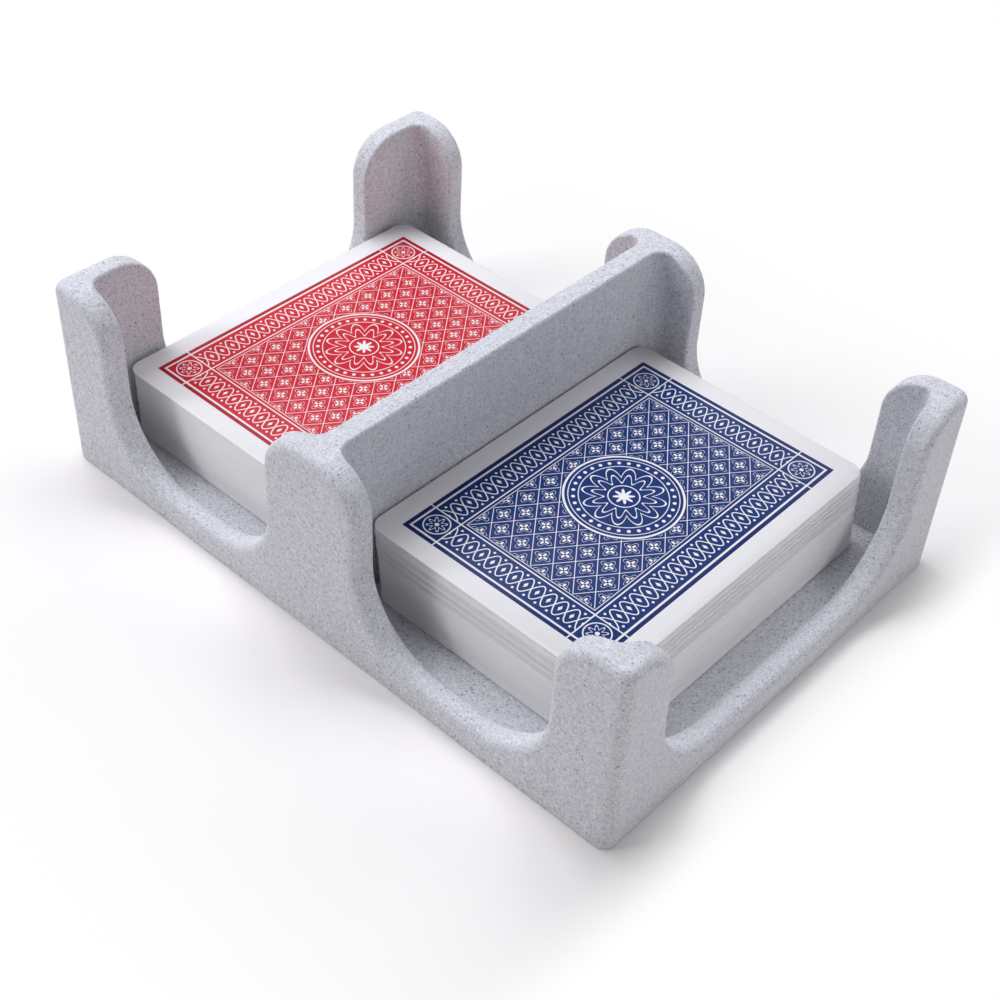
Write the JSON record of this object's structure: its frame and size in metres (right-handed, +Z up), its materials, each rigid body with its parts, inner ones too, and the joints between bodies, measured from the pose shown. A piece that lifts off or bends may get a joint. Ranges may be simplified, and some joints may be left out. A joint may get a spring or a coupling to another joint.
{
  "type": "playing card tray",
  "caption": "Open playing card tray with a divider, U-shaped finger scoops in all walls and soft rounded edges, holding a red deck and a blue deck of cards side by side.",
  "frame": {"origin": "centre of the tray's flat base, on the surface it stands on", "axes": "+X across the two wells from the red deck to the blue deck, +Y along the cards towards the rear wall, +Z up"},
  "size_m": [0.1626, 0.1128, 0.0486],
  "materials": {
    "tray": "matt speckled stone-grey printed plastic",
    "red_cards": "smooth coated card with a white border",
    "blue_cards": "smooth coated card with a white border"
  },
  "bodies": {
    "tray": {"tray": "tray"},
    "red_packet_1": {"red_packet_1": "red_cards"},
    "red_packet_2": {"red_packet_2": "red_cards"},
    "red_packet_3": {"red_packet_3": "red_cards"},
    "red_top_card_1": {"red_top_card_1": "red_cards"},
    "red_top_card_2": {"red_top_card_2": "red_cards"},
    "red_top_card_3": {"red_top_card_3": "red_cards"},
    "red_top_card_4": {"red_top_card_4": "red_cards"},
    "blue_packet_1": {"blue_packet_1": "blue_cards"},
    "blue_packet_2": {"blue_packet_2": "blue_cards"},
    "blue_packet_3": {"blue_packet_3": "blue_cards"},
    "blue_top_card_1": {"blue_top_card_1": "blue_cards"},
    "blue_top_card_2": {"blue_top_card_2": "blue_cards"},
    "blue_top_card_3": {"blue_top_card_3": "blue_cards"},
    "blue_top_card_4": {"blue_top_card_4": "blue_cards"}
  },
  "joints": [
    {"name": "red_packet_1_lift", "type": "slide", "parent": "tray", "child": "red_packet_1", "axis": [0, 0, 1], "range_m": [0, 0.047]},
    {"name": "red_packet_2_lift", "type": "slide", "parent": "red_packet_1", "child": "red_packet_2", "axis": [0, 0, 1], "range_m": [0, 0.042]},
    {"name": "red_packet_3_lift", "type": "slide", "parent": "red_packet_2", "child": "red_packet_3", "axis": [0, 0, 1], "range_m": [0, 0.036]},
    {"name": "red_top_card_1_lift", "type": "slide", "parent": "red_packet_3", "child": "red_top_card_1", "axis": [0, 0, 1], "range_m": [0, 0.03]},
    {"name": "red_top_card_2_lift", "type": "slide", "parent": "red_top_card_1", "child": "red_top_card_2", "axis": [0, 0, 1], "range_m": [0, 0.03]},
    {"name": "red_top_card_3_lift", "type": "slide", "parent": "red_top_card_2", "child": "red_top_card_3", "axis": [0, 0, 1], "range_m": [0, 0.03]},
    {"name": "red_top_card_4_lift", "type": "slide", "parent": "red_top_card_3", "child": "red_top_card_4", "axis": [0, 0, 1], "range_m": [0, 0.029]},
    {"name": "blue_packet_1_lift", "type": "slide", "parent": "tray", "child": "blue_packet_1", "axis": [0, 0, 1], "range_m": [0, 0.047]},
    {"name": "blue_packet_2_lift", "type": "slide", "parent": "blue_packet_1", "child": "blue_packet_2", "axis": [0, 0, 1], "range_m": [0, 0.041]},
    {"name": "blue_packet_3_lift", "type": "slide", "parent": "blue_packet_2", "child": "blue_packet_3", "axis": [0, 0, 1], "range_m": [0, 0.035]},
    {"name": "blue_top_card_1_lift", "type": "slide", "parent": "blue_packet_3", "child": "blue_top_card_1", "axis": [0, 0, 1], "range_m": [0, 0.029]},
    {"name": "blue_top_card_2_lift", "type": "slide", "parent": "blue_top_card_1", "child": "blue_top_card_2", "axis": [0, 0, 1], "range_m": [0, 0.028]},
    {"name": "blue_top_card_3_lift", "type": "slide", "parent": "blue_top_card_2", "child": "blue_top_card_3", "axis": [0, 0, 1], "range_m": [0, 0.028]},
    {"name": "blue_top_card_4_lift", "type": "slide", "parent": "blue_top_card_3", "child": "blue_top_card_4", "axis": [0, 0, 1], "range_m": [0, 0.028]}
  ]
}
